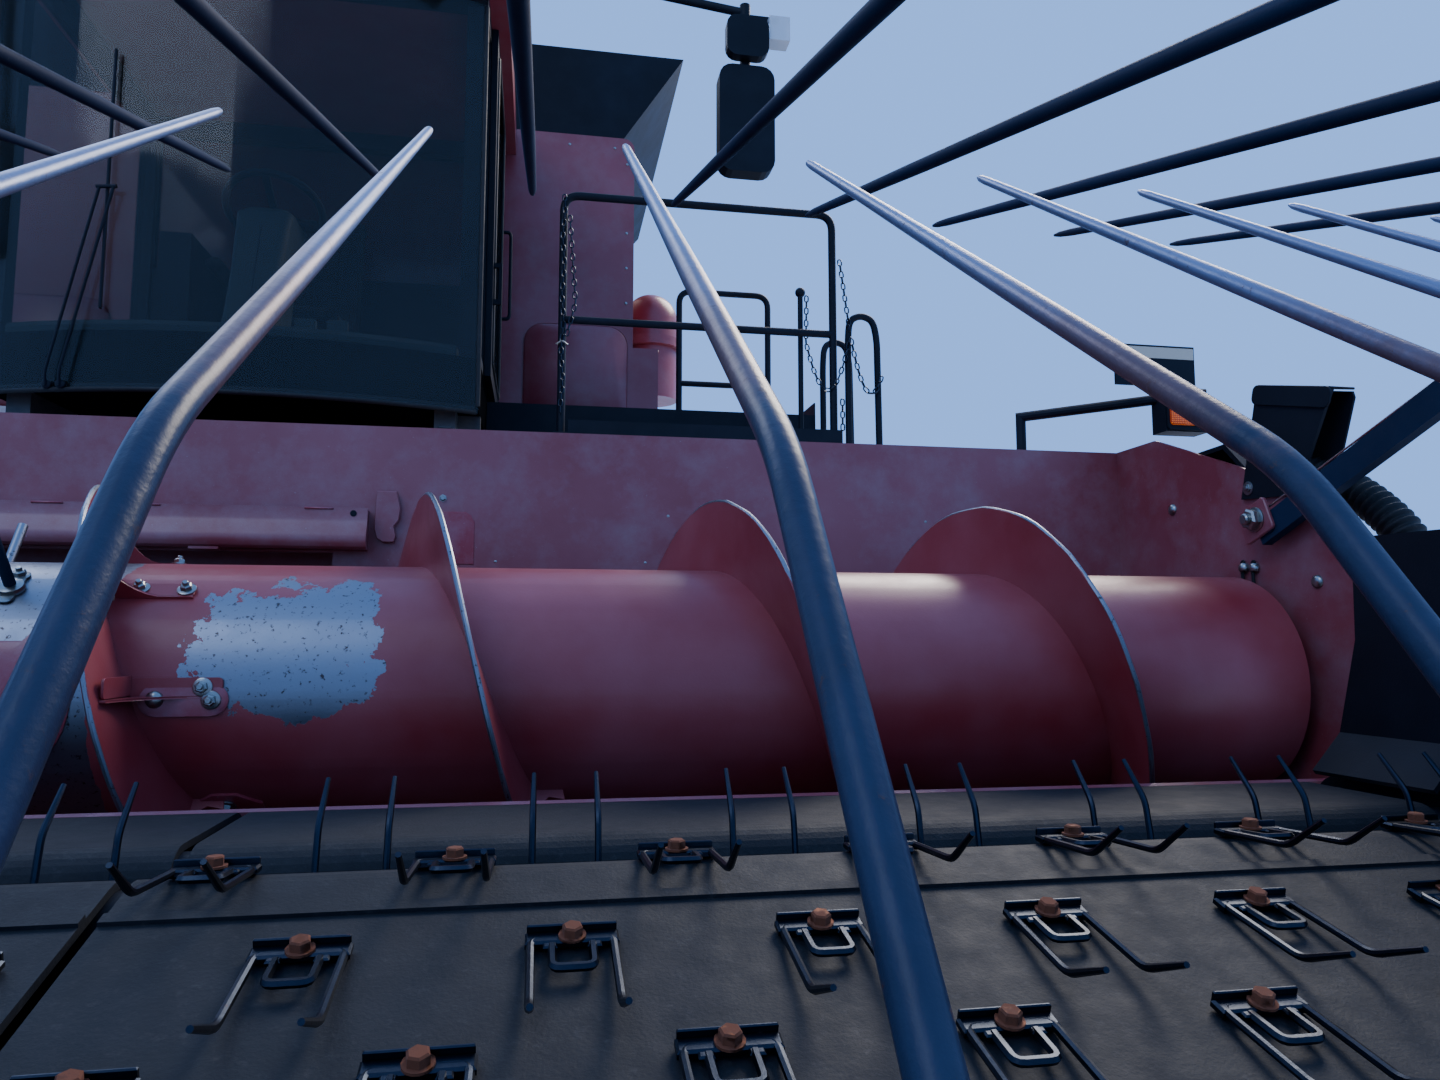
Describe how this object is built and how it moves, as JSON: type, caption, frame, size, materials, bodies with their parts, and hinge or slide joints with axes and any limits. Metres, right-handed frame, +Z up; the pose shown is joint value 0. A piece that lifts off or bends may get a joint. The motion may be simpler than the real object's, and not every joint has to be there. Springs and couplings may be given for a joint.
{
  "type": "combine harvester",
  "caption": "Self-propelled combine harvester with a belt pickup header, feeder house, cab with side platform, open grain tank and folded unloading auger.",
  "frame": {"origin": "on the ground, below the middle of the overall length and width", "axes": "+Z up, -Y to the front of the machine, +X to the machine's left side"},
  "size_m": [5.2, 10.6549, 3.98],
  "materials": {
    "frame_paint": "black and dark grey paint, dusty",
    "red_paint": "sun-faded red paint, semi-gloss",
    "worn_steel": "steel worn bright by the crop, specks of rust",
    "tine_steel": "blue-grey painted steel rods with rust spots",
    "belt_rubber": "matt black rubber, dirty",
    "tyre": "dusty tyre rubber",
    "rim_paint": "light grey wheel paint",
    "tinted_glass": "tinted safety glass",
    "lamp_glass": "clear lamp lens in a black housing",
    "seat_fabric": "dark grey woven seat cover"
  },
  "bodies": {
    "chassis": {"main_frame": "frame_paint", "front_axle": "frame_paint", "rear_axle": "frame_paint", "separator_body": "red_paint", "side_panel_left": "red_paint", "side_panel_right": "red_paint", "grain_tank": "red_paint", "tank_extension": "frame_paint", "tank_auger": "frame_paint", "engine_hood": "red_paint", "engine_block": "frame_paint", "rear_hood": "red_paint", "exhaust": "frame_paint", "cab_base": "frame_paint", "cab_frame": "frame_paint", "cab_roof": "red_paint", "windscreen": "tinted_glass", "cab_windows": "tinted_glass", "operator_seat": "seat_fabric", "steering_console": "frame_paint", "mirrors": "frame_paint", "work_lamps": "lamp_glass", "platform": "frame_paint", "handrails": "frame_paint", "ladder": "frame_paint", "unloading_elbow": "red_paint", "straw_chopper": "frame_paint"},
    "feeder": {"feeder_house": "red_paint", "header_shell": "red_paint", "header_beam": "red_paint", "header_shields": "frame_paint", "header_lamps": "frame_paint", "header_ribs": "red_paint"},
    "lift_barrels": {"lift_barrels": "frame_paint"},
    "lift_rods": {"lift_rods": "worn_steel"},
    "auger": {"auger_tube": "red_paint", "auger_flights": "worn_steel"},
    "pickup": {"pickup_frame": "frame_paint", "pickup_belts": "belt_rubber", "pickup_tines": "tine_steel"},
    "gauge_wheel_left": {"gauge_wheel_left": "belt_rubber"},
    "gauge_wheel_right": {"gauge_wheel_right": "belt_rubber"},
    "windguard": {"windguard": "tine_steel", "windguard_rods": "tine_steel"},
    "cab_door": {"cab_door": "frame_paint", "door_glass": "tinted_glass"},
    "unloader": {"unloading_tube": "red_paint"},
    "spreader_left": {"spreader_left": "frame_paint"},
    "spreader_right": {"spreader_right": "frame_paint"},
    "wheel_front_left": {"front_tyre_left": "tyre", "front_rim_left": "rim_paint"},
    "wheel_front_right": {"front_tyre_right": "tyre", "front_rim_right": "rim_paint"},
    "knuckle_left": {"knuckle_left": "frame_paint"},
    "knuckle_right": {"knuckle_right": "frame_paint"},
    "wheel_rear_left": {"rear_tyre_left": "tyre", "rear_rim_left": "rim_paint"},
    "wheel_rear_right": {"rear_tyre_right": "tyre", "rear_rim_right": "rim_paint"},
    "tie_rod": {"tie_rod": "frame_paint"}
  },
  "joints": [
    {"name": "wheel_spin_front_left", "type": "hinge", "parent": "chassis", "child": "wheel_front_left", "pos_m": [1.44, 0.45, 0.85], "axis": [1, 0, 0], "continuous": true},
    {"name": "wheel_spin_front_right", "type": "hinge", "parent": "chassis", "child": "wheel_front_right", "pos_m": [-1.44, 0.45, 0.85], "axis": [1, 0, 0], "continuous": true},
    {"name": "steer_left", "type": "hinge", "parent": "chassis", "child": "knuckle_left", "pos_m": [0.96, 3.95, 0.63], "axis": [0, 0, 1], "range_deg": [-22, 22]},
    {"name": "steer_right", "type": "hinge", "parent": "chassis", "child": "knuckle_right", "pos_m": [-0.96, 3.95, 0.63], "axis": [0, 0, 1], "range_deg": [-22, 22]},
    {"name": "wheel_spin_rear_left", "type": "hinge", "parent": "knuckle_left", "child": "wheel_rear_left", "pos_m": [1.31, 3.95, 0.63], "axis": [1, 0, 0], "continuous": true},
    {"name": "wheel_spin_rear_right", "type": "hinge", "parent": "knuckle_right", "child": "wheel_rear_right", "pos_m": [-1.31, 3.95, 0.63], "axis": [1, 0, 0], "continuous": true},
    {"name": "feeder_lift", "type": "hinge", "parent": "chassis", "child": "feeder", "pos_m": [0, 0.2, 1.3], "axis": [-1, 0, 0], "range_deg": [0, 14]},
    {"name": "lift_barrel_tilt", "type": "hinge", "parent": "chassis", "child": "lift_barrels", "pos_m": [0, 0.03, 0.8], "axis": [-1, 0, 0], "range_deg": [0, 15.77]},
    {"name": "lift_rod_slide", "type": "slide", "parent": "lift_barrels", "child": "lift_rods", "axis": [0, -0.9931, -0.1171], "range_m": [0, 0.1232]},
    {"name": "auger_spin", "type": "hinge", "parent": "feeder", "child": "auger", "pos_m": [0, -3.15, 0.62], "axis": [1, 0, 0], "continuous": true},
    {"name": "pickup_float", "type": "hinge", "parent": "feeder", "child": "pickup", "pos_m": [0, -3.55, 0.443], "axis": [-1, 0, 0], "range_deg": [0, 4]},
    {"name": "gauge_wheel_spin_left", "type": "hinge", "parent": "pickup", "child": "gauge_wheel_left", "pos_m": [2.425, -4.51, 0.2], "axis": [1, 0, 0], "continuous": true},
    {"name": "gauge_wheel_spin_right", "type": "hinge", "parent": "pickup", "child": "gauge_wheel_right", "pos_m": [-2.425, -4.51, 0.2], "axis": [1, 0, 0], "continuous": true},
    {"name": "windguard_tilt", "type": "hinge", "parent": "feeder", "child": "windguard", "pos_m": [0, -3.277, 0.913], "axis": [-1, 0, 0], "range_deg": [0, 30]},
    {"name": "cab_door_swing", "type": "hinge", "parent": "chassis", "child": "cab_door", "pos_m": [0.898, 0.122, 2.6], "axis": [0, 0, 1], "range_deg": [0, 80]},
    {"name": "unloader_swing", "type": "hinge", "parent": "chassis", "child": "unloader", "pos_m": [1.85, 1.75, 2.7], "axis": [0, 0, -1], "range_deg": [0, 90]},
    {"name": "spreader_spin_left", "type": "hinge", "parent": "chassis", "child": "spreader_left", "pos_m": [0.36, 5.01, 1], "axis": [0, 0, 1], "continuous": true},
    {"name": "spreader_spin_right", "type": "hinge", "parent": "chassis", "child": "spreader_right", "pos_m": [-0.36, 5.01, 1], "axis": [0, 0, 1], "continuous": true},
    {"name": "tie_rod_pivot", "type": "hinge", "parent": "knuckle_left", "child": "tie_rod", "pos_m": [0.96, 4.18, 0.6], "axis": [0, 0, 1], "range_deg": [-22, 22]}
  ],
  "couplings": [
    {"joint": "steer_right", "follows": "steer_left", "ratio": 1},
    {"joint": "lift_barrel_tilt", "follows": "feeder_lift", "ratio": 1.1228},
    {"joint": "lift_rod_slide", "follows": "feeder_lift", "m_per_rad": 0.50208},
    {"joint": "tie_rod_pivot", "follows": "steer_left", "ratio": -1}
  ]
}
